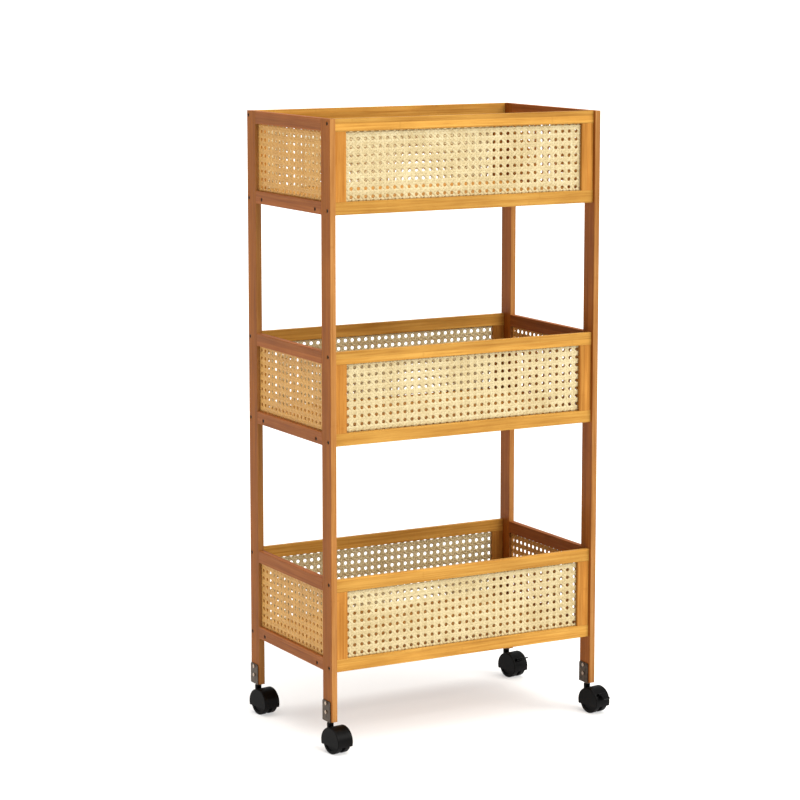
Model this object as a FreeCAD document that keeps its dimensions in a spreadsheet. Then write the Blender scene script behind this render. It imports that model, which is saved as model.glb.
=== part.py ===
"""Rolling utility cart: three cane-panelled bamboo baskets between four posts, on four twin-wheel casters.

Frame: +Z up, +X to the right seen from the front, the front faces -Y, origin on the floor under the
middle of the cart's bounding box. Millimetres.
"""
import FreeCAD
import Part
import os

from FreeCAD import Placement, Rotation, Vector

SIZES = {
    # overall
    "cart_width": 478, "cart_depth": 280, "cart_height": 968,
    "shift_x": -2.66, "shift_y": 17.046,
    # posts and baskets
    "post_thick": 9.5, "post_deep": 29.5, "post_foot": 48,
    "tier_pitch": 350, "basket_high": 144, "rail_high": 19.5,
    "frame_thick": 8, "front_recess": 5.5, "back_recess": 1, "stile_wide": 21,
    "cane_thick": 1.6, "cane_recess_frame": 4, "cane_recess_side": 4.5, "ease": 0.7,
    # slatted floor
    "cleat_wide": 12, "cleat_high": 10, "cleat_lift": 2.5, "slat_thick": 6, "slat_gap": 4,
    # joining screws
    "screw_front": 9.5, "screw_back": 5, "screw_drop": 7, "cleat_screw_inset": 20,
    "screw_shank": 1.9, "screw_hole": 2, "screw_head": 3, "screw_head_thick": 1.6,
    "counterbore": 3.2, "counterbore_deep": 2.5, "screw_long": 26, "cleat_screw_long": 17,
    # leg brackets
    "plate_thick": 1.4, "plate_wide": 25, "plate_high": 31, "plate_back": 1.8, "plate_corner": 3,
    "plate_screw_low": 13, "plate_screw_top": 27, "plate_screw_head": 3, "plate_screw_head_thick": 1.4,
    "plate_screw_shank": 1.6, "plate_pilot": 1.65, "plate_screw_long": 7.5,
    # casters
    "wheel_radius": 19.5, "wheel_wide": 9.8, "wheel_bore": 2.56, "tread_ease": 1.5, "dish_radius": 14.5,
    "axle_radius": 2.5, "axle_hole": 2.55, "caster_trail": 17, "caster_turn": 9, "side_gap": 0.3,
    "hood_radius": 22.4, "hood_wide": 28.5, "hood_wall": 1.4, "hood_skirt": 13, "hood_ease": 1.2,
    "wheel_room": 20.6, "web_half": 2.4, "neck_radius": 5.2, "neck_top": 44, "neck_bottom": 32,
    "stem_radius": 3, "stem_hole": 3.06, "stem_bottom": 37, "washer_radius": 4.8, "washer_thick": 0.8,
    # brake levers
    "lever_orbit": 25, "lever_rise": 35, "lever_wide": 13, "lever_long": 12, "lever_thick": 2.2,
    "lever_hub": 1.9, "lever_pin": 0.9, "lever_pin_hole": 0.96, "ear_thick": 2, "ear_radius": 2.2,
    "lever_released": -20, "lever_locked": 30,
}

TIERS = ("bottom", "middle", "top")
CORNERS = ("front_left", "front_right", "back_left", "back_right")
BRAKED = ("front_right", "back_right")

doc = FreeCAD.newDocument("utility_cart")
sheet = doc.addObject("Spreadsheet::Sheet", "Sizes")
for row, (alias, value) in enumerate(SIZES.items(), start=1):
    sheet.set("A%d" % row, alias)
    sheet.set("B%d" % row, str(value))
    sheet.setAlias("B%d" % row, alias)
doc.recompute()

# Places that many pieces share, as expressions on the sheet.
LEFT = "(Sizes.shift_x - Sizes.cart_width / 2)"
FRONT = "(Sizes.shift_y - Sizes.cart_depth / 2)"
INNER_WIDTH = "(Sizes.cart_width - 2 * Sizes.post_thick)"
SIDE_SPAN = "(Sizes.cart_depth - 2 * Sizes.post_deep)"
OPENING_HIGH = "(Sizes.basket_high - 2 * Sizes.rail_high)"
INNER_LEFT = LEFT + " + Sizes.post_thick"
INNER_RIGHT = LEFT + " + Sizes.cart_width - Sizes.post_thick"
FRONT_FRAME_Y = FRONT + " + Sizes.front_recess"
BACK_FRAME_Y = FRONT + " + Sizes.cart_depth - Sizes.back_recess - Sizes.frame_thick"
TRAY_FRONT = FRONT_FRAME_Y + " + Sizes.frame_thick"
TRAY_DEEP = "(Sizes.cart_depth - Sizes.front_recess - Sizes.back_recess - 2 * Sizes.frame_thick)"
ALONG_X = Rotation(Vector(0, 1, 0), 90)
UPRIGHT = Rotation()

nodes = []


def put(piece, x="0", y="0", z="0", turn=UPRIGHT):
    """Turn a piece, then bind its position to the sheet."""
    piece.Placement = Placement(Vector(), turn)
    for axis, expression in zip("xyz", (x, y, z)):
        piece.setExpression("Placement.Base." + axis, expression)
    return piece


def box(name, x, y, z, wide, deep, high):
    piece = doc.addObject("Part::Box", name)
    for side, expression in zip(("Length", "Width", "Height"), (wide, deep, high)):
        piece.setExpression(side, expression)
    return put(piece, x, y, z)


def cylinder(name, x, y, z, radius, length, turn=UPRIGHT):
    piece = doc.addObject("Part::Cylinder", name)
    piece.setExpression("Radius", radius)
    piece.setExpression("Height", length)
    return put(piece, x, y, z, turn)


def cut(name, base, tools):
    piece = doc.addObject("Part::Cut", name)
    piece.Base = base
    piece.Tool = group(name + "_tools", tools)
    return piece


def fuse(name, pieces):
    piece = doc.addObject("Part::MultiFuse", name)
    piece.Shapes = pieces
    return piece


def group(name, pieces):
    piece = doc.addObject("Part::Compound", name)
    piece.Links = pieces
    return piece


def node(label, piece):
    """Give a finished sub-part its own name and put it on the export list."""
    piece.Label = label
    nodes.append(piece)
    return piece


def edges_along(shape, direction):
    """Numbers of the straight edges that run along a direction."""
    found = []
    for number, edge in enumerate(shape.Edges, start=1):
        if isinstance(edge.Curve, Part.Line) and abs(edge.Curve.Direction.dot(direction)) > 0.999:
            found.append(number)
    return found


def rounded(name, base, numbers, radius):
    """Round the numbered edges of a solid."""
    piece = doc.addObject("Part::Fillet", name)
    piece.Base = base
    piece.Edges = [(number, radius, radius) for number in numbers]
    return piece


def eased(name, bar, direction):
    """Round the four long edges of a wooden bar a little."""
    doc.recompute()
    return rounded(name, bar, edges_along(bar.Shape, direction), SIZES["ease"])


def rimmed(name, drum, radius):
    """Round both rims of a cylinder."""
    doc.recompute()
    rims = [number for number, edge in enumerate(drum.Shape.Edges, start=1)
            if isinstance(edge.Curve, Part.Circle)]
    return rounded(name, drum, rims, radius)


def basket_bottom(tier):
    lowest = "(Sizes.cart_height - Sizes.basket_high - %d * Sizes.tier_pitch)"
    return lowest % (len(TIERS) - 1 - TIERS.index(tier))


def screw_heights(tier):
    low = basket_bottom(tier) + " + Sizes.screw_drop"
    high = basket_bottom(tier) + " + Sizes.basket_high - Sizes.screw_drop"
    return {"lower": low, "upper": high}


def screw_depth(side):
    """Distance line of the screws through a post, centred on the front or back frame."""
    if side == "front":
        return FRONT + " + Sizes.screw_front"
    return FRONT + " + Sizes.cart_depth - Sizes.screw_back"


def screw_face(hand):
    """Outer face of the posts on one hand, and the turn that sends a screw inwards from it."""
    if hand == "left":
        return LEFT, ALONG_X
    return LEFT + " + Sizes.cart_width", Rotation(Vector(0, 1, 0), -90)


def corner_parts(corner):
    side, hand = corner.split("_")
    return side, hand


# ---------------------------------------------------------------- posts
def screw_bore(name, x, y, z, turn, length):
    """Clearance hole with a counterbore, opening at the outer face."""
    hole = cylinder(name + "_hole", x, y, z, "Sizes.screw_hole", length, turn)
    mouth = cylinder(name + "_mouth", x, y, z, "Sizes.counterbore", "Sizes.counterbore_deep", turn)
    return [hole, mouth]


def make_post(corner):
    side, hand = corner_parts(corner)
    x = LEFT if hand == "left" else INNER_RIGHT
    y = FRONT if side == "front" else FRONT + " + Sizes.cart_depth - Sizes.post_deep"
    name = "post_" + corner
    bar = box(name + "_bar", x, y, "Sizes.post_foot", "Sizes.post_thick", "Sizes.post_deep",
              "Sizes.cart_height - Sizes.post_foot")
    bar = eased(name + "_eased", bar, Vector(0, 0, 1))
    face, turn = screw_face(hand)
    bores = []
    for tier in TIERS:
        for level, z in screw_heights(tier).items():
            bore = "%s_%s_%s" % (name, tier, level)
            bores += screw_bore(bore, face, screw_depth(side), z, turn, "Sizes.post_thick")
    # pilot holes of the leg bracket, which always lies on the face that looks to -X
    for level in ("low", "top"):
        z = "Sizes.post_foot + Sizes.plate_screw_" + level
        plate_y = y + " + Sizes.post_deep / 2 + Sizes.plate_back"
        bores.append(cylinder("%s_pilot_%s" % (name, level), x, plate_y, z, "Sizes.plate_pilot",
                              "Sizes.plate_screw_long", ALONG_X))
    node(name, cut(name, bar, bores))


# ---------------------------------------------------------------- baskets
def make_frame(side, tier):
    """Front or back of a basket: two rails the full width between the posts, and two stiles."""
    name = "%s_frame_%s" % (side, tier)
    y = FRONT_FRAME_Y if side == "front" else BACK_FRAME_Y
    bottom = basket_bottom(tier)
    heights = {"lower": bottom, "upper": bottom + " + Sizes.basket_high - Sizes.rail_high"}
    pieces = []
    for level, z in heights.items():
        part = "%s_%s" % (name, level)
        rail = box(part + "_bar", INNER_LEFT, y, z, INNER_WIDTH, "Sizes.frame_thick", "Sizes.rail_high")
        rail = eased(part + "_eased", rail, Vector(1, 0, 0))
        pilots = []
        for hand, x, turn in (("left", INNER_LEFT, ALONG_X),
                              ("right", INNER_RIGHT, Rotation(Vector(0, 1, 0), -90))):
            pilots.append(cylinder("%s_pilot_%s" % (part, hand), x, screw_depth(side),
                                   screw_heights(tier)[level], "Sizes.screw_hole",
                                   "Sizes.screw_long", turn))
        pieces.append(cut(part, rail, pilots))
    z = bottom + " + Sizes.rail_high"
    for hand, x in (("left", INNER_LEFT), ("right", INNER_RIGHT + " - Sizes.stile_wide")):
        part = "%s_stile_%s" % (name, hand)
        stile = box(part + "_bar", x, y, z, "Sizes.stile_wide", "Sizes.frame_thick", OPENING_HIGH)
        pieces.append(eased(part, stile, Vector(0, 0, 1)))
    node(name, group(name, pieces))


def make_side_rails(hand, tier):
    """Upper and lower side rail between the posts, flush with their outer faces."""
    name = "side_rails_%s_%s" % (hand, tier)
    x = LEFT if hand == "left" else INNER_RIGHT
    y = FRONT + " + Sizes.post_deep"
    bottom = basket_bottom(tier)
    upper = box(name + "_upper_bar", x, y, bottom + " + Sizes.basket_high - Sizes.rail_high",
                "Sizes.post_thick", SIDE_SPAN, "Sizes.rail_high")
    lower = box(name + "_lower_bar", x, y, bottom, "Sizes.post_thick", SIDE_SPAN, "Sizes.rail_high")
    upper = eased(name + "_upper", upper, Vector(0, 1, 0))
    lower = eased(name + "_lower_eased", lower, Vector(0, 1, 0))
    face, turn = screw_face(hand)
    bores = []
    for end, y_screw in cleat_screws().items():
        bores += screw_bore("%s_%s" % (name, end), face, y_screw, bottom + " + Sizes.screw_drop", turn,
                            "Sizes.post_thick")
    node(name, group(name, [upper, cut(name + "_lower", lower, bores)]))


def cleat_screws():
    """Depth lines of the two screws that hold each floor cleat to its side rail."""
    inset = " + Sizes.post_deep + Sizes.cleat_screw_inset"
    return {"near": FRONT + inset, "far": FRONT + " + Sizes.cart_depth" + inset.replace("+", "-")}


def make_cane(tier):
    """Four thin webbing panels that close the basket's four openings."""
    z = basket_bottom(tier) + " + Sizes.rail_high"
    wide = INNER_WIDTH + " - 2 * Sizes.stile_wide"
    x = INNER_LEFT + " + Sizes.stile_wide"
    for side, y in (("front", FRONT_FRAME_Y + " + Sizes.cane_recess_frame"),
                    ("back", BACK_FRAME_Y + " + Sizes.cane_recess_frame - Sizes.cane_thick")):
        name = "cane_%s_%s" % (side, tier)
        node(name, box(name, x, y, z, wide, "Sizes.cane_thick", OPENING_HIGH))
    y = FRONT + " + Sizes.post_deep"
    right = LEFT + " + Sizes.cart_width - Sizes.cane_recess_side - Sizes.cane_thick"
    for hand, x in (("left", LEFT + " + Sizes.cane_recess_side"), ("right", right)):
        name = "cane_%s_%s" % (hand, tier)
        node(name, box(name, x, y, z, "Sizes.cane_thick", SIDE_SPAN, OPENING_HIGH))


SLATS = 5


def make_tray(tier):
    """Slatted floor that rests on the cleats."""
    name = "tray_" + tier
    z = basket_bottom(tier) + " + Sizes.cleat_lift + Sizes.cleat_high"
    slat_deep = "((%s - %d * Sizes.slat_gap) / %d)" % (TRAY_DEEP, SLATS - 1, SLATS)
    slats = []
    for count in range(SLATS):
        y = "%s + %d * (%s + Sizes.slat_gap)" % (TRAY_FRONT, count, slat_deep)
        part = "%s_slat_%d" % (name, count + 1)
        slat = box(part + "_bar", INNER_LEFT, y, z, INNER_WIDTH, slat_deep, "Sizes.slat_thick")
        slats.append(eased(part, slat, Vector(1, 0, 0)))
    node(name, group(name, slats))


def make_cleats():
    """Battens along the inside of the lower side rails, two under each floor."""
    cleats = []
    right = INNER_RIGHT + " - Sizes.cleat_wide"
    for tier in TIERS:
        z = basket_bottom(tier) + " + Sizes.cleat_lift"
        z_screw = basket_bottom(tier) + " + Sizes.screw_drop"
        for hand, x in (("left", INNER_LEFT), ("right", right)):
            name = "cleat_%s_%s" % (tier, hand)
            bar = box(name + "_bar", x, TRAY_FRONT, z, "Sizes.cleat_wide", TRAY_DEEP, "Sizes.cleat_high")
            pilots = [cylinder("%s_pilot_%s" % (name, end), x, y, z_screw, "Sizes.screw_hole",
                               "Sizes.cleat_wide", ALONG_X)
                      for end, y in cleat_screws().items()]
            cleats.append(cut(name, bar, pilots))
    node("floor_cleats", group("floor_cleats", cleats))


def screw(name, face, y, z, hand, turn, length):
    """Recessed socket screw: head at the bottom of its counterbore, shank inwards."""
    inwards = " + " if hand == "left" else " - "
    seat = face + inwards + "(Sizes.counterbore_deep - Sizes.screw_head_thick)"
    head = cylinder(name + "_head", seat, y, z, "Sizes.screw_head", "Sizes.screw_head_thick", turn)
    shank = cylinder(name + "_shank", seat, y, z, "Sizes.screw_shank", length, turn)
    socket = cylinder(name + "_socket", seat, y, z, "Sizes.screw_shank / 1.5",
                      "Sizes.screw_head_thick / 1.5", turn)
    return cut(name, fuse(name + "_body", [head, shank]), [socket])


def make_joining_screws():
    screws = []
    for tier in TIERS:
        for corner in CORNERS:
            side, hand = corner_parts(corner)
            face, turn = screw_face(hand)
            for level, z in screw_heights(tier).items():
                name = "screw_%s_%s_%s" % (tier, corner, level)
                screws.append(screw(name, face, screw_depth(side), z, hand, turn, "Sizes.screw_long"))
        for hand in ("left", "right"):
            face, turn = screw_face(hand)
            for end, y in cleat_screws().items():
                name = "screw_%s_%s_%s" % (tier, hand, end)
                z = basket_bottom(tier) + " + Sizes.screw_drop"
                screws.append(screw(name, face, y, z, hand, turn, "Sizes.cleat_screw_long"))
    node("joining_screws", group("joining_screws", screws))


# ---------------------------------------------------------------- leg brackets
def leg_axis(corner):
    """Where the vertical axis of a leg stands."""
    side, hand = corner_parts(corner)
    x = LEFT + " + Sizes.post_thick / 2"
    y = FRONT + " + Sizes.post_deep / 2"
    if hand == "right":
        x += " + Sizes.cart_width - Sizes.post_thick"
    if side == "back":
        y += " + Sizes.cart_depth - Sizes.post_deep"
    return x, y


def make_bracket(corner):
    """Steel angle: a plate up the -X face of the leg, folded under its end to take the stem."""
    name = "bracket_" + corner
    x, y = leg_axis(corner)
    out = "-Sizes.post_thick / 2 - Sizes.plate_thick"
    half = "Sizes.plate_back - Sizes.plate_wide / 2"
    plate = box(name + "_plate", out, half, "Sizes.post_foot - Sizes.plate_thick", "Sizes.plate_thick",
                "Sizes.plate_wide", "Sizes.plate_high + Sizes.plate_thick")
    doc.recompute()
    middle = plate.Shape.BoundBox.Center.z
    top_corners = [number for number in edges_along(plate.Shape, Vector(1, 0, 0))
                   if plate.Shape.Edges[number - 1].CenterOfMass.z > middle]
    plate = rounded(name + "_rounded", plate, top_corners, SIZES["plate_corner"])
    # The foot runs under the whole post and on past its inner face by half its own thickness.
    foot = box(name + "_foot", out, half, "Sizes.post_foot - Sizes.plate_thick",
               "Sizes.post_thick + 1.5 * Sizes.plate_thick", "Sizes.plate_wide", "Sizes.plate_thick")
    holes = [cylinder(name + "_stem_hole", "0", "0", "Sizes.post_foot - 2 * Sizes.plate_thick",
                      "Sizes.stem_hole", "3 * Sizes.plate_thick")]
    for level in ("low", "top"):
        holes.append(cylinder("%s_hole_%s" % (name, level), out, "Sizes.plate_back",
                              "Sizes.post_foot + Sizes.plate_screw_" + level, "Sizes.plate_pilot",
                              "2 * Sizes.plate_thick", ALONG_X))
    angle = cut(name, fuse(name + "_angle", [plate, foot]), holes)
    node(name, put(angle, x, y))


def make_bracket_screws():
    screws = []
    for corner in CORNERS:
        x, y = leg_axis(corner)
        y += " + Sizes.plate_back"
        face = x + " - Sizes.post_thick / 2 - Sizes.plate_thick"
        for level in ("low", "top"):
            name = "bracket_screw_%s_%s" % (corner, level)
            z = "Sizes.post_foot + Sizes.plate_screw_" + level
            head = cylinder(name + "_head", face + " - Sizes.plate_screw_head_thick", y, z,
                            "Sizes.plate_screw_head", "Sizes.plate_screw_head_thick", ALONG_X)
            shank = cylinder(name + "_shank", face, y, z, "Sizes.plate_screw_shank",
                             "Sizes.plate_screw_long", ALONG_X)
            screws.append(fuse(name, [head, shank]))
    node("bracket_screws", group("bracket_screws", screws))


# ---------------------------------------------------------------- casters
# Each caster piece is made about its own stem axis, trailing to -Y, then turned and put under its leg.
AXLE_Y = "-Sizes.caster_trail"
AXLE_Z = "Sizes.wheel_radius"


def under_leg(corner, piece):
    x, y = leg_axis(corner)
    return put(piece, x, y, "0", Rotation(Vector(0, 0, 1), SIZES["caster_turn"]))


def make_stem(corner):
    """Plain round stem fixed in the bracket, with a washer under the bracket. No thread is modelled."""
    name = "stem_" + corner
    rod = cylinder(name + "_rod", "0", "0", "Sizes.stem_bottom", "Sizes.stem_radius",
                   "Sizes.post_foot - Sizes.stem_bottom")
    under = "Sizes.post_foot - Sizes.plate_thick - Sizes.washer_thick"
    washer = cylinder(name + "_washer", "0", "0", under, "Sizes.washer_radius",
                      "Sizes.washer_thick")
    node(name, under_leg(corner, fuse(name, [rod, washer])))


def lever_pivot():
    rise = "Sizes.lever_rise"
    y = AXLE_Y + " - Sizes.lever_orbit * cos(%s * 1deg)" % rise
    z = AXLE_Z + " + Sizes.lever_orbit * sin(%s * 1deg)" % rise
    return y, z


def make_hood(corner):
    """Glossy drum that hoods both wheels, with a centre web, a stem neck and, if braked, two ears."""
    name = "hood_" + corner
    half = "Sizes.hood_wide / 2"
    drum = cylinder(name + "_drum", "-" + half, AXLE_Y, AXLE_Z, "Sizes.hood_radius", "Sizes.hood_wide",
                    ALONG_X)
    drum = rimmed(name + "_drum_eased", drum, SIZES["hood_ease"])
    neck = cylinder(name + "_neck", "0", "0", "Sizes.neck_bottom", "Sizes.neck_radius",
                    "Sizes.neck_top - Sizes.neck_bottom")
    solids = [drum, neck]
    tools = []
    if corner in BRAKED:
        pivot_y, pivot_z = lever_pivot()
        ear_at = "Sizes.lever_wide / 2 + Sizes.side_gap"
        for hand, x in (("left", "-(%s) - Sizes.ear_thick" % ear_at), ("right", ear_at)):
            solids.append(cylinder("%s_ear_%s" % (name, hand), x, pivot_y, pivot_z, "Sizes.ear_radius",
                                   "Sizes.ear_thick", ALONG_X))
            foot_y = AXLE_Y + " - Sizes.hood_radius * cos(Sizes.lever_rise * 1deg)"
            foot_z = AXLE_Z + " + Sizes.hood_radius * sin(Sizes.lever_rise * 1deg)"
            solids.append(cylinder("%s_ear_foot_%s" % (name, hand), x, foot_y, foot_z,
                                   "Sizes.ear_radius", "Sizes.ear_thick", ALONG_X))
        tools.append(cylinder(name + "_pin_hole", "-" + half, pivot_y, pivot_z, "Sizes.lever_pin_hole",
                              "Sizes.hood_wide", ALONG_X))
    room = half + " - Sizes.hood_wall - Sizes.web_half"
    tools.append(cylinder(name + "_room_left", "-(%s) + Sizes.hood_wall" % half, AXLE_Y, AXLE_Z,
                          "Sizes.wheel_room", room, ALONG_X))
    tools.append(cylinder(name + "_room_right", "Sizes.web_half", AXLE_Y, AXLE_Z, "Sizes.wheel_room",
                          room, ALONG_X))
    # This box reaches past the drum on every side but the top, so it cuts the skirt off level.
    tools.append(box(name + "_below", "-Sizes.hood_wide", "-3 * Sizes.hood_radius", "-Sizes.hood_radius",
                     "2 * Sizes.hood_wide", "4 * Sizes.hood_radius",
                     "Sizes.hood_radius + Sizes.hood_skirt"))
    tools.append(cylinder(name + "_axle_hole", "-(%s) + Sizes.hood_wall / 2" % half, AXLE_Y, AXLE_Z,
                          "Sizes.axle_hole", "Sizes.hood_wide - Sizes.hood_wall", ALONG_X))
    tools.append(cylinder(name + "_stem_hole", "0", "0", "Sizes.stem_bottom - Sizes.side_gap",
                          "Sizes.stem_hole", "Sizes.neck_top", UPRIGHT))
    node(name, under_leg(corner, cut(name, fuse(name + "_solids", solids), tools)))


def make_axle(corner):
    name = "axle_" + corner
    length = "Sizes.hood_wide - Sizes.hood_wall - Sizes.side_gap"
    axle = cylinder(name + "_rod", "-(%s) / 2" % length, AXLE_Y, AXLE_Z, "Sizes.axle_radius", length,
                    ALONG_X)
    node(name, under_leg(corner, group(name, [axle])))


def make_wheel(corner, hand):
    """Solid wheel with a rounded tread and a dished outer face."""
    name = "wheel_%s_%s" % (corner, hand)
    gap = "Sizes.web_half + Sizes.side_gap"
    x = gap if hand == "outer" else "-(%s) - Sizes.wheel_wide" % gap
    disc = cylinder(name + "_disc", x, AXLE_Y, AXLE_Z, "Sizes.wheel_radius", "Sizes.wheel_wide", ALONG_X)
    tyre = rimmed(name + "_tyre", disc, SIZES["tread_ease"])
    bore = cylinder(name + "_bore", x, AXLE_Y, AXLE_Z, "Sizes.wheel_bore", "Sizes.wheel_wide", ALONG_X)
    dish_x = x if hand == "inner" else x + " + Sizes.wheel_wide - Sizes.hood_wall"
    dish = cylinder(name + "_dish", dish_x, AXLE_Y, AXLE_Z, "Sizes.dish_radius",
                    "Sizes.hood_wall", ALONG_X)
    node(name, under_leg(corner, cut(name, tyre, [bore, dish])))


def make_lever(corner):
    """Foot lever on the front of the hood: released it sticks up and out, locked it points down."""
    name = "brake_lever_" + corner
    pivot_y, pivot_z = lever_pivot()
    half = "-Sizes.lever_wide / 2"
    hub = cylinder(name + "_hub", half, "0", "0", "Sizes.lever_hub", "Sizes.lever_wide", ALONG_X)
    blade = box(name + "_blade", half, "-Sizes.lever_long", "-Sizes.lever_thick / 2", "Sizes.lever_wide",
                "Sizes.lever_long", "Sizes.lever_thick")
    pin = cylinder(name + "_pin", half + " - Sizes.ear_thick", "0", "0", "Sizes.lever_pin",
                   "Sizes.lever_wide + 2 * Sizes.ear_thick", ALONG_X)
    angle = SIZES["lever_locked"] if corner == "front_right" else SIZES["lever_released"]
    arm = put(fuse(name + "_arm", [hub, blade, pin]), "0", pivot_y, pivot_z,
              Rotation(Vector(1, 0, 0), angle))
    node(name, under_leg(corner, group(name, [arm])))


for corner in CORNERS:
    make_post(corner)
for tier in TIERS:
    make_frame("front", tier)
    make_frame("back", tier)
    make_side_rails("left", tier)
    make_side_rails("right", tier)
    make_cane(tier)
    make_tray(tier)
make_cleats()
make_joining_screws()
make_bracket_screws()
for corner in CORNERS:
    make_bracket(corner)
    make_stem(corner)
    make_hood(corner)
    make_axle(corner)
    make_wheel(corner, "inner")
    make_wheel(corner, "outer")
for corner in BRAKED:
    make_lever(corner)

doc.recompute()
for piece in doc.Objects:
    if "Invalid" in piece.State or "Error" in piece.State:
        raise RuntimeError("%s failed: %s" % (piece.Label, piece.State))
for piece in nodes:
    if piece.Shape.isNull() or not piece.Shape.isValid():
        raise RuntimeError("%s has no valid shape" % piece.Label)

os.makedirs("parts", exist_ok=True)
whole = FreeCAD.BoundBox()
for piece in nodes:
    piece.Shape.exportStep("parts/%s.step" % piece.Label)
    whole.add(piece.Shape.optimalBoundingBox(True, False))
print("%d nodes, box %s" % (len(nodes), whole))
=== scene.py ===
"""Rolling utility cart: woven cane webbing, bamboo grain, plated and moulded finishes, studio and camera."""
import math
import random

import bpy
import numpy as np
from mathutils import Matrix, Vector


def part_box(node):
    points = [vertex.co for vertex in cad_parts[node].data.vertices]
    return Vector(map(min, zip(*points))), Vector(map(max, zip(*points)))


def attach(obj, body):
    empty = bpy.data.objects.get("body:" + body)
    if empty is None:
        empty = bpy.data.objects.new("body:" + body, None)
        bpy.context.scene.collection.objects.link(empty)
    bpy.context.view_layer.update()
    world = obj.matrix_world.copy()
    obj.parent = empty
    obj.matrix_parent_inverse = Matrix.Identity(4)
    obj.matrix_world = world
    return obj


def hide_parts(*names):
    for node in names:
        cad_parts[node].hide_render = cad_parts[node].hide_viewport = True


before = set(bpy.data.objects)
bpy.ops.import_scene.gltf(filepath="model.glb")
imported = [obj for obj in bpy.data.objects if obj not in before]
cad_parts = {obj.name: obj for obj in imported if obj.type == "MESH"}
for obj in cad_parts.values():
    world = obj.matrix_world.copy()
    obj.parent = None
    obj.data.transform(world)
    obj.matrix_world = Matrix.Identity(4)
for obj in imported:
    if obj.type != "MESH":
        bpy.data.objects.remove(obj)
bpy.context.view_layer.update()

TIERS = ("bottom", "middle", "top")
CORNERS = ("front_left", "front_right", "back_left", "back_right")
MM = 0.001

# ---------------------------------------------------------------- cane webbing
PITCH = 12.45 * MM           # from one pair of strands to the next
PAIR = 1.85 * MM             # half the distance between the two strands of a pair
STRAND_WIDE = 3.35 * MM
STRAND_THICK = 0.4 * MM
WEAVE_RISE = 0.15 * MM       # how far upright and level strands go over and under each other
DIAGONAL_RISE = 0.3 * MM     # how far diagonal strands go over and under the pairs
STRAND_STRAY = 0.12 * MM     # how far a strand may lie to either side of its place
PANEL_PROUD = 2 * MM         # how far the weave may stand out of its plain panel, front and back
STEPS = 4                    # points of a strand in one pitch
# in pitches, from a panel's left edge to its first upright pair and from its bottom to its first level pair
FIRST_PAIRS = {"bottom": (0.67, 0.0), "middle": (0.75, 0.43), "top": (0.33, 0.0)}


def ribbon(points, out, across):
    """Corners and faces of one flat strand with a domed top along points; out is its face's side."""
    half = STRAND_WIDE / 2
    section = ((-half, -0.5), (half, -0.5), (half, 0.1), (half * 0.45, 0.5), (-half * 0.45, 0.5),
               (-half, 0.1))
    rings = [points + across * side + out * lift * STRAND_THICK for side, lift in section]
    corners = np.stack(rings, axis=1).reshape(-1, 3)
    count, sides = len(points), len(section)
    faces = []
    for step in range(count - 1):
        for side in range(sides):
            following = (side + 1) % sides
            a, b = step * sides + side, step * sides + following
            faces.append((a, b, b + sides, a + sides))
    faces.append(tuple(reversed(range(sides))))
    faces.append(tuple(range((count - 1) * sides, count * sides)))
    return corners, faces


def pair_wave(along, sign):
    """Height of an upright or level strand, which goes over one strand of each pair and under the other."""
    place = (along / PITCH + 0.5) % 1.0 - 0.5
    return sign * WEAVE_RISE * np.clip(place * PITCH / PAIR, -1, 1) * np.cos(np.pi * place)


def weave_strands(wide, high, first):
    """Each strand of a panel centred on (0, 0): its points across, up and out, and its direction."""
    origin_u, origin_v = first[0] * PITCH - wide / 2, first[1] * PITCH - high / 2
    columns, rows = int(wide / PITCH) + 2, int(high / PITCH) + 2
    for upright, count, origin, span, extent, crossed in (
            (True, columns, origin_u, wide, high, origin_v), (False, rows, origin_v, high, wide, origin_u)):
        for index in range(-1, count):
            for hand in (-1, 1):
                place = origin + index * PITCH + hand * PAIR
                if abs(place) > span / 2 - STRAND_WIDE / 3:    # a sixth of it would be past the edge
                    continue
                along = np.linspace(-extent / 2, extent / 2, int(extent / PITCH * STEPS) + 2)
                lift = pair_wave(along - crossed, hand if upright else -hand)
                across = np.full_like(along, place)
                if upright:
                    yield across, along, lift, (0, 1)
                else:
                    yield along, across, lift, (1, 0)
    for slope in (1, -1):
        for index in range(-rows - 2, columns + rows + 2):
            start = origin_u + slope * origin_v + (index + 0.5) * PITCH
            # the diagonal u + slope * v = start, cut to the panel
            low = max(-wide / 2, start - high / 2)
            top = min(wide / 2, start + high / 2)
            if top - low < STRAND_WIDE:
                continue
            u = np.linspace(low, top, max(3, int((top - low) / PITCH * STEPS) + 2))
            v = (start - u) * slope
            lift = slope * DIAGONAL_RISE * np.cos(2 * np.pi * (u - origin_u) / PITCH)
            yield u, v, lift, (math.sqrt(0.5), -slope * math.sqrt(0.5))


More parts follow.
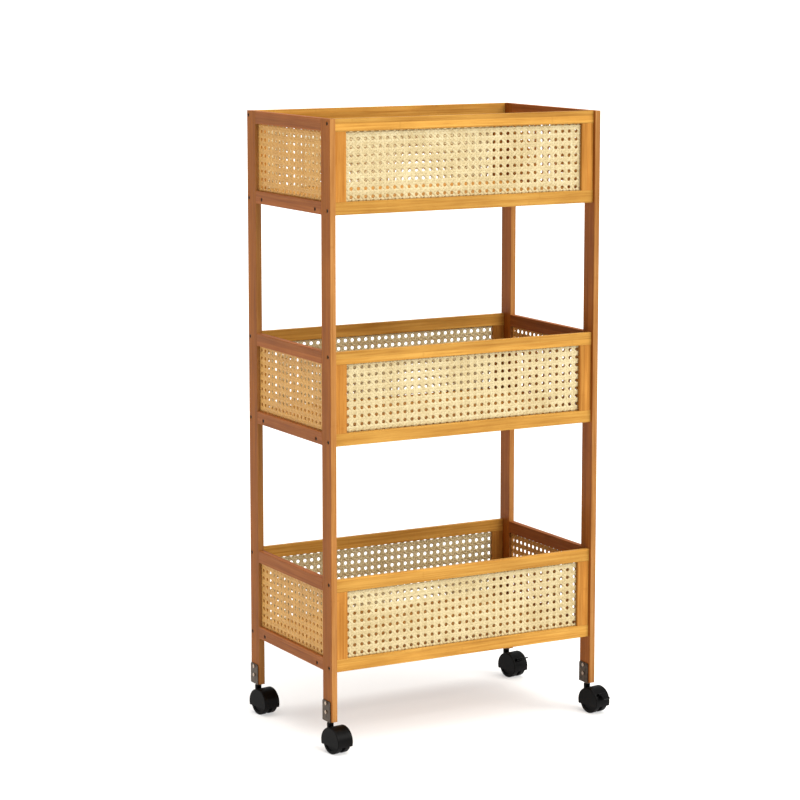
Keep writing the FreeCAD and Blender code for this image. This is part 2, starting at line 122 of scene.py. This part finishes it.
def cane_panel(side, tier, seed):
    """The woven panel that stands for one plain CAD panel."""
    node = "cane_%s_%s" % (side, tier)
    low, high = (np.array(corner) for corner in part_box(node))
    centre = (low + high) / 2
    flat = side in ("front", "back")
    along = np.array((1.0, 0, 0)) if flat else np.array((0, 1.0, 0))
    out = {"front": (0, -1.0, 0), "back": (0, 1.0, 0), "left": (-1.0, 0, 0), "right": (1.0, 0, 0)}[side]
    out, up = np.array(out), np.array((0, 0, 1.0))
    wide, tall = (high - low)[0 if flat else 1], (high - low)[2]
    draw = random.Random(seed)
    corners, faces, tones, offset = [], [], [], 0
    for u, v, lift, (du, dv) in weave_strands(wide, tall, FIRST_PAIRS[tier]):
        slide = draw.uniform(-STRAND_STRAY, STRAND_STRAY)
        points = centre + along * (u[:, None] - dv * slide) + up * (v[:, None] + du * slide)
        points = points + out * lift[:, None]
        across = np.cross(out, along * du + up * dv)
        strand, sides = ribbon(points, out, across)
        corners.append(strand)
        faces += [tuple(corner + offset for corner in face) for face in sides]
        tones += [draw.random()] * len(strand)
        offset += len(strand)
    corners = np.concatenate(corners)
    corners = np.clip(corners, low - abs(out) * PANEL_PROUD, high + abs(out) * PANEL_PROUD)
    mesh = bpy.data.meshes.new("woven_" + node)
    mesh.from_pydata(corners.tolist(), [], faces)
    tone = mesh.attributes.new("tone", "FLOAT", "POINT")
    tone.data.foreach_set("value", tones)
    mesh.polygons.foreach_set("use_smooth", [True] * len(mesh.polygons))
    piece = bpy.data.objects.new("woven_" + node, mesh)
    bpy.context.scene.collection.objects.link(piece)
    # the left and right panels take the cane with painted shade, the front and back panels the lit copy
    mesh.materials.append(once("cane_pale", cane, LIT_CANE) if flat else
                          once("cane_honey", cane, SHADED_CANE))
    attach(piece, "root")
    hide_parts(node)


# ---------------------------------------------------------------- materials
# tints, by which a material's red, green and blue are multiplied
# one cane in two copies: the side panels' tint is darker and more orange, painted shade on the cart's sides
LIT_CANE = (0.84, 0.92, 0.98)
SHADED_CANE = (1.05, 0.75, 0.37)
POST_WOOD = (0.64, 0.43, 0.29)
# lifts the posts' front and back faces above their sides: painted light on those faces
POST_LIT_FACE = (1.13, 1.60, 3.1)
# darker than the frames' tint: painted shade on the side rails, which face the cart's shaded sides
SIDE_RAIL_SHADED_WOOD = (0.67, 0.46, 0.52)
FRAME_WOOD = (0.98, 1.06, 0.97)
STILE_WOOD = (0.89, 0.75, 0.70)
STRIP = 9.8 * MM             # width of one glued bamboo strip


class Recipe:
    """A node material under construction, with short ways to add and join nodes."""

    def __init__(self, name):
        self.material = bpy.data.materials.new(name)
        self.material.use_nodes = True
        self.tree = self.material.node_tree
        self.shader = self.tree.nodes["Principled BSDF"]

    def add(self, kind, settings=None, **inputs):
        node = self.tree.nodes.new("ShaderNode" + kind)
        for name, value in (settings or {}).items():
            setattr(node, name, value)
        for name, value in inputs.items():
            self.join(value, node.inputs[int(name[1:]) if name[1:].isdigit() else name.replace("_", " ")])
        return node

    def join(self, value, socket):
        if isinstance(value, bpy.types.NodeSocket):
            self.tree.links.new(value, socket)
        elif isinstance(value, bpy.types.Node):
            self.tree.links.new(value.outputs[0], socket)
        else:
            socket.default_value = value

    def math(self, operation, first, second=0.0, third=0.0):
        return self.add("Math", {"operation": operation}, i0=first, i1=second, i2=third)

    def noise(self, vector, scale, detail=3.0, roughness=0.5):
        return self.add("TexNoise", Vector=vector, Scale=scale, Detail=detail, Roughness=roughness)

    def ramp(self, factor, stops):
        node = self.add("ValToRGB", Fac=factor)
        elements = node.color_ramp.elements
        for number, (place, colour) in enumerate(stops):
            element = elements[number] if number < 2 else elements.new(place)
            element.position = place
            element.color = (*colour, 1)
        return node

    def mix(self, factor, first, second, blend="MIX"):
        node = self.add("Mix", {"data_type": "RGBA", "blend_type": blend})
        self.join(factor, node.inputs[0])
        for value, socket in ((first, node.inputs[6]), (second, node.inputs[7])):
            self.join((*value, 1) if isinstance(value, tuple) else value, socket)
        return node.outputs[2]

    def finish(self, bump=None, distance=0.0002, strength=0.5, **inputs):
        for name, value in inputs.items():
            socket = self.shader.inputs[name.replace("_", " ")]
            self.join((*value, 1) if isinstance(value, tuple) and len(value) == 3 else value, socket)
        if bump is not None:
            node = self.add("Bump", Strength=strength, Distance=distance, Height=bump)
            self.join(node, self.shader.inputs["Normal"])
        return self.material


made = {}


def once(name, build, *details):
    """The material of that name, built on its first use only."""
    if name not in made:
        made[name] = build(name, *details)
    return made[name]


def tinted(colour, tint):
    return tuple(channel * share for channel, share in zip(colour, tint))


def between(recipe, height, limits):
    """1 where height lies between the two limits, and 0 elsewhere."""
    above = recipe.math("GREATER_THAN", height, limits[0])
    below = recipe.math("LESS_THAN", height, limits[1])
    return recipe.math("MULTIPLY", above, below)


def grain_vector(recipe, axis, cross=None):
    """Coordinates with the first along the grain; between the heights in cross the grain stands upright."""
    place = recipe.add("TexCoord").outputs["Object"]
    split = recipe.add("SeparateXYZ", Vector=place)
    x, y, z = split.outputs
    order = {"x": (x, z, y), "y": (y, z, x), "z": (z, y, x)}[axis]
    vector = recipe.add("CombineXYZ", X=order[0], Y=order[1], Z=order[2])
    if cross is None:
        return vector
    upright = recipe.add("CombineXYZ", X=z, Y=x, Z=y)
    return recipe.add("Mix", {"data_type": "VECTOR"}, i0=between(recipe, z, cross), i4=vector,
                      i5=upright).outputs[1]


def bamboo(name, axis, tint=(1.0, 1.0, 1.0), cross=None, lit_face_tint=None):
    """Laminated bamboo: glued strips of slightly different tone, long fibres, flecks and a few knuckles.

    cross gives the heights between which the grain stands upright, as in a frame's stiles. The last argument
    is a further tint for the faces that look to the front or back, painted light that makes them lighter
    than the sides.
    """
    recipe = Recipe(name)
    vector = grain_vector(recipe, axis, cross)
    split = recipe.add("SeparateXYZ", Vector=vector)
    strip = recipe.math("FLOOR", recipe.math("DIVIDE", split.outputs[1], STRIP))
    layer = recipe.math("FLOOR", recipe.math("DIVIDE", split.outputs[2], STRIP * 2))
    key = recipe.add("CombineXYZ", X=strip, Y=layer)
    chance = recipe.add("TexWhiteNoise", {"noise_dimensions": "3D"}, Vector=key).outputs[0]
    offset = recipe.math("MULTIPLY", chance, 7.0)
    along = recipe.math("ADD", split.outputs[0], offset)
    stretched = recipe.add("CombineXYZ", X=recipe.math("MULTIPLY", along, 0.03), Y=split.outputs[1],
                           Z=split.outputs[2])
    fibre = recipe.noise(stretched, 1500.0, 4.0, 0.65)
    streak = recipe.noise(stretched, 320.0, 2.0)
    cloud = recipe.noise(vector, 14.0, 2.0)
    dark = tinted((0.330, 0.140, 0.026), tint)
    middle = tinted((0.425, 0.200, 0.042), tint)
    pale = tinted((0.510, 0.265, 0.066), tint)
    base = recipe.ramp(streak.outputs[0], ((0.25, dark), (0.5, middle), (0.78, pale)))
    light = recipe.math("MULTIPLY_ADD", chance, 0.26, 0.87)
    grey = recipe.add("CombineColor", Red=light, Green=light, Blue=light)
    toned = recipe.mix(1.0, base.outputs[0], grey.outputs[0], "MULTIPLY")
    wash = recipe.ramp(cloud.outputs[0], ((0.3, (0.90, 0.86, 0.80)), (0.7, (1.06, 1.05, 1.04))))
    toned = recipe.mix(1.0, toned, wash.outputs[0], "MULTIPLY")
    fleck = recipe.ramp(fibre.outputs[0], ((0.30, (0.62, 0.52, 0.42)), (0.46, (1.0, 1.0, 1.0))))
    toned = recipe.mix(0.5, toned, fleck.outputs[0], "MULTIPLY")
    turn = recipe.math("FRACT", recipe.math("MULTIPLY", along, 3.7))
    knuckle = recipe.math("COMPARE", turn, 0.5, 0.006)
    toned = recipe.mix(recipe.math("MULTIPLY", knuckle, 0.25), toned, dark)
    edge = recipe.math("PINGPONG", recipe.math("DIVIDE", split.outputs[1], STRIP), 0.5)
    seam = recipe.math("LESS_THAN", edge, 0.022)
    toned = recipe.mix(recipe.math("MULTIPLY", seam, 0.22), toned, dark)
    if cross is not None:
        place = recipe.add("SeparateXYZ", Vector=recipe.add("TexCoord").outputs["Object"])
        toned = recipe.mix(between(recipe, place.outputs[2], cross), toned,
                           recipe.mix(1.0, toned, STILE_WOOD, "MULTIPLY"))
    # painted light: faces that look to the front or back take a lighter tint than the sides
    if lit_face_tint is not None:
        facing = recipe.add("SeparateXYZ", Vector=recipe.add("TexCoord").outputs["Normal"])
        on_lit_face = recipe.math("GREATER_THAN", recipe.math("ABSOLUTE", facing.outputs[1]), 0.7)
        toned = recipe.mix(on_lit_face, toned, recipe.mix(1.0, toned, lit_face_tint, "MULTIPLY"))
    gloss = recipe.math("MULTIPLY_ADD", streak.outputs[0], 0.16, 0.36)
    height = recipe.math("SUBTRACT", fibre.outputs[0], seam)
    return recipe.finish(bump=height, distance=0.00012, strength=0.35, Base_Color=toned, Roughness=gloss,
                         Specular_IOR_Level=0.07)


def cane(name, tint):
    """Split cane: each strand has its own tone, with soft patches and fine darker specks."""
    recipe = Recipe(name)
    place = recipe.add("TexCoord").outputs["Object"]
    tone = recipe.add("Attribute", {"attribute_name": "tone"}).outputs["Fac"]
    grain = recipe.noise(place, 900.0, 3.0)
    patch = recipe.noise(place, 22.0, 2.0)
    base = recipe.ramp(tone, ((0.0, tinted((0.51, 0.375, 0.185), tint)),
                              (0.45, tinted((0.56, 0.425, 0.225), tint)),
                              (1.0, tinted((0.61, 0.480, 0.270), tint))))
    wash = recipe.ramp(patch.outputs[0], ((0.3, (0.92, 0.88, 0.80)), (0.7, (1.05, 1.05, 1.05))))
    toned = recipe.mix(1.0, base.outputs[0], wash.outputs[0], "MULTIPLY")
    speck = recipe.ramp(grain.outputs[0], ((0.3, (0.72, 0.62, 0.48)), (0.5, (1.0, 1.0, 1.0))))
    toned = recipe.mix(0.35, toned, speck.outputs[0], "MULTIPLY")
    gloss = recipe.math("MULTIPLY_ADD", patch.outputs[0], 0.2, 0.4)
    return recipe.finish(bump=grain.outputs[0], distance=0.0001, strength=0.3, Base_Color=toned,
                         Roughness=gloss, Specular_IOR_Level=0.35)


def steel(name):
    """Dark plated steel sheet with fine brushing and cloudy patches."""
    recipe = Recipe(name)
    place = recipe.add("TexCoord").outputs["Object"]
    brushed = recipe.noise(recipe.add("Mapping", Vector=place, Scale=(1.0, 14.0, 1.0)), 260.0, 3.0)
    patch = recipe.noise(place, 120.0, 3.0)
    base = recipe.ramp(patch.outputs[0], ((0.3, (0.034, 0.022, 0.014)), (0.65, (0.085, 0.060, 0.040))))
    gloss = recipe.math("MULTIPLY_ADD", brushed.outputs[0], 0.3, 0.22)
    return recipe.finish(bump=brushed.outputs[0], distance=0.00005, strength=0.3,
                         Base_Color=base.outputs[0], Roughness=gloss, Metallic=0.9)


def chrome(name):
    """Bright plating, a little uneven in tone and polish."""
    recipe = Recipe(name)
    place = recipe.add("TexCoord").outputs["Object"]
    patch = recipe.noise(place, 300.0, 2.0)
    base = recipe.ramp(patch.outputs[0], ((0.3, (0.30, 0.22, 0.16)), (0.7, (0.48, 0.38, 0.30))))
    gloss = recipe.math("MULTIPLY_ADD", patch.outputs[0], 0.15, 0.08)
    return recipe.finish(Base_Color=base.outputs[0], Roughness=gloss, Metallic=1.0)


def blackened(name):
    """Dull black screw finish, mottled."""
    recipe = Recipe(name)
    place = recipe.add("TexCoord").outputs["Object"]
    patch = recipe.noise(place, 700.0, 2.0)
    base = recipe.ramp(patch.outputs[0], ((0.3, (0.006, 0.005, 0.005)), (0.7, (0.022, 0.018, 0.016))))
    return recipe.finish(Base_Color=base.outputs[0], Roughness=recipe.math("MULTIPLY_ADD", patch, 0.3, 0.35),
                         Metallic=0.4)


def moulded(name, shade, rough):
    """Black moulded nylon: faint flow marks and a fine orange-peel skin."""
    recipe = Recipe(name)
    place = recipe.add("TexCoord").outputs["Object"]
    skin = recipe.noise(place, 900.0, 2.0)
    flow = recipe.noise(place, 60.0, 3.0)
    dark = (shade * 0.6, shade * 0.55, shade * 0.6)
    base = recipe.ramp(flow.outputs[0], ((0.3, dark), (0.75, (shade, shade * 0.95, shade * 1.05))))
    gloss = recipe.math("MULTIPLY_ADD", flow.outputs[0], 0.16, rough)
    return recipe.finish(bump=skin.outputs[0], distance=0.00005, strength=0.25,
                         Base_Color=base.outputs[0], Roughness=gloss, Specular_IOR_Level=0.08)


def dress(node, material):
    """Give every material slot of a CAD node one material."""
    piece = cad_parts[node]
    for slot in piece.material_slots or [None]:
        if slot is None:
            piece.data.materials.append(material)
        else:
            slot.material = material


def dress_cad():
    """Give every CAD node that stays visible its material."""
    upright = bamboo("bamboo_post_lit_faces", "z", tint=POST_WOOD, lit_face_tint=POST_LIT_FACE)
    # the side rails and floor cleats take bamboo with painted shade
    shaded_sideways = bamboo("bamboo_side_rail_shaded", "y", tint=SIDE_RAIL_SHADED_WOOD)
    floor = bamboo("bamboo_floor", "x")
    plate, bright, dark = steel("dark_plated_steel"), chrome("bright_plate"), blackened("blackened_screw")
    gloss, tread = moulded("gloss_nylon", 0.0016, 0.26), moulded("tread_nylon", 0.003, 0.4)
    for corner in CORNERS:
        dress("post_" + corner, upright)
        dress("bracket_" + corner, plate)
        dress("stem_" + corner, bright)
        dress("hood_" + corner, gloss)
        dress("axle_" + corner, plate)
        for hand in ("inner", "outer"):
            dress("wheel_%s_%s" % (corner, hand), tread)
    for corner in ("front_right", "back_right"):
        dress("brake_lever_" + corner, gloss)
    for tier in TIERS:
        opening_low, opening_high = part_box("cane_front_" + tier)
        cross = (opening_low[2], opening_high[2])
        basket = bamboo("bamboo_frame_" + tier, "x", tint=FRAME_WOOD, cross=cross)
        dress("front_frame_" + tier, basket)
        dress("back_frame_" + tier, basket)
        dress("side_rails_left_" + tier, shaded_sideways)
        dress("side_rails_right_" + tier, shaded_sideways)
        dress("tray_" + tier, floor)
    dress("floor_cleats", shaded_sideways)
    dress("joining_screws", dark)
    dress("bracket_screws", bright)


# ---------------------------------------------------------------- studio and camera
def studio():
    """White backdrop, pale floor and two broad soft lamps."""
    world = bpy.data.worlds.new("studio")
    bpy.context.scene.world = world
    world.use_nodes = True
    sky = world.node_tree.nodes["Background"]
    sky.inputs["Color"].default_value = (1.0, 1.0, 1.0, 1)
    # The backdrop looks as white as the floor, but it lights the cart only at its lower strength.
    path = world.node_tree.nodes.new("ShaderNodeLightPath")
    strength = world.node_tree.nodes.new("ShaderNodeMapRange")
    strength.inputs["To Min"].default_value = 0.5
    strength.inputs["To Max"].default_value = 1.0
    world.node_tree.links.new(path.outputs["Is Camera Ray"], strength.inputs["Value"])
    world.node_tree.links.new(strength.outputs["Result"], sky.inputs["Strength"])
    for name, energy, lean, turn in (("key", 3.75, 52, 22), ("overhead", 3.2, 0, 0)):
        lamp = bpy.data.objects.new(name, bpy.data.lights.new(name, "SUN"))
        lamp.data.energy = energy
        lamp.data.angle = math.radians(55)
        lamp.data.color = (1.0, 0.97, 0.92)
        lamp.rotation_euler = (math.radians(lean), 0, math.radians(turn))
        bpy.context.scene.collection.objects.link(lamp)
    recipe = Recipe("pale_floor")
    place = recipe.add("TexCoord").outputs["Object"]
    cloud = recipe.noise(place, 0.8, 2.0)
    base = recipe.ramp(cloud.outputs[0], ((0.2, (0.50, 0.50, 0.50)), (0.8, (0.53, 0.53, 0.53))))
    material = recipe.finish(Base_Color=base.outputs[0], Roughness=0.9, Specular_IOR_Level=0.1,
                             Emission_Color=base.outputs[0], Emission_Strength=0.85)
    mesh = bpy.data.meshes.new("floor")
    far = 400.0              # metres, which looks endless from the camera
    mesh.from_pydata([(-far, -far, 0), (far, -far, 0), (far, far, 0), (-far, far, 0)], [], [(0, 1, 2, 3)])
    mesh.materials.append(material)
    floor = bpy.data.objects.new("floor", mesh)
    bpy.context.scene.collection.objects.link(floor)
    bpy.context.scene.view_settings.view_transform = "Standard"


def camera():
    """Camera at the angle and distance that show the front and the left side."""
    eye = bpy.data.objects.new("camera", bpy.data.cameras.new("camera"))
    eye.data.lens = 120.54
    eye.data.sensor_width = 36
    eye.data.shift_y = -0.05
    eye.data.clip_end = 2000
    eye.location = (-2.0820, -3.6386, 1.1969)
    eye.rotation_euler = (math.radians(81.56), 0, math.radians(-29.13))
    bpy.context.scene.collection.objects.link(eye)
    bpy.context.scene.camera = eye


def main():
    seed = 0
    for tier in TIERS:
        for side in ("front", "back", "left", "right"):
            seed += 1
            cane_panel(side, tier, seed)
    dress_cad()
    studio()
    camera()


main()
